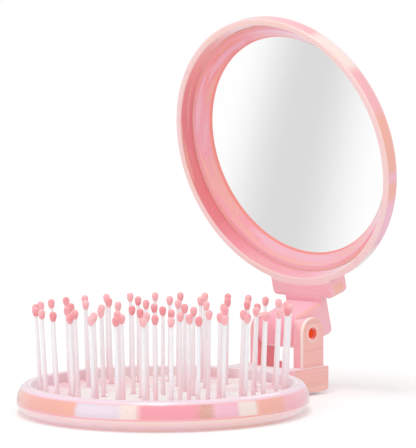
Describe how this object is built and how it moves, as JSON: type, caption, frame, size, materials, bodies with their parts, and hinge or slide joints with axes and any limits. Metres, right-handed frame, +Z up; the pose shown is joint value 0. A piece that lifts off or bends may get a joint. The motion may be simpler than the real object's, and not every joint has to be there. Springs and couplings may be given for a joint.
{
  "type": "folding hairbrush with mirror",
  "caption": "Pocket hairbrush: a round disc of ball-tipped pins with a round mirror cup that folds over them on a two-eared hinge.",
  "frame": {"origin": "middle of the disc's flat underside, on the table", "axes": "+Z up out of the pins, +Y from the disc's middle to the hinge and mirror, +X along the hinge axis to the user's right"},
  "size_m": [0.07, 0.0937, 0.0949],
  "materials": {
    "shell_pink": "pearlescent gloss, moulded",
    "cover_pink": "pearlescent gloss, moulded",
    "plate_pink": "gloss",
    "backing_white": "plain moulded",
    "pin_coral": "plain moulded",
    "pin_white": "semi-translucent nylon",
    "tip_pink": "gloss",
    "mirror_pink": "pearlescent gloss, moulded",
    "mirror_glass": "silvered glass",
    "ring_pink": "gloss",
    "tape_grey": "foam tape"
  },
  "bodies": {
    "brush": {"base_top": "shell_pink", "base_bottom": "cover_pink", "pin_plate": "plate_pink", "pin_backing": "backing_white", "hinge_pin": "pin_coral", "pin_center": "pin_white", "pins_ring_1": "pin_white", "pins_ring_2": "pin_white", "pins_ring_3": "pin_white", "pins_ring_4": "pin_white", "tip_center": "tip_pink", "tips_ring_1": "tip_pink", "tips_ring_2": "tip_pink", "tips_ring_3": "tip_pink", "tips_ring_4": "tip_pink"},
    "mirror": {"mirror_shell": "mirror_pink", "mirror_glass": "mirror_glass", "glass_ring": "ring_pink", "glass_tape": "tape_grey"}
  },
  "joints": [
    {"name": "mirror_hinge", "type": "hinge", "parent": "brush", "child": "mirror", "pos_m": [0, 0.0448, 0.0155], "axis": [-1, 0, 0], "range_deg": [-75.5, 54.5]}
  ]
}
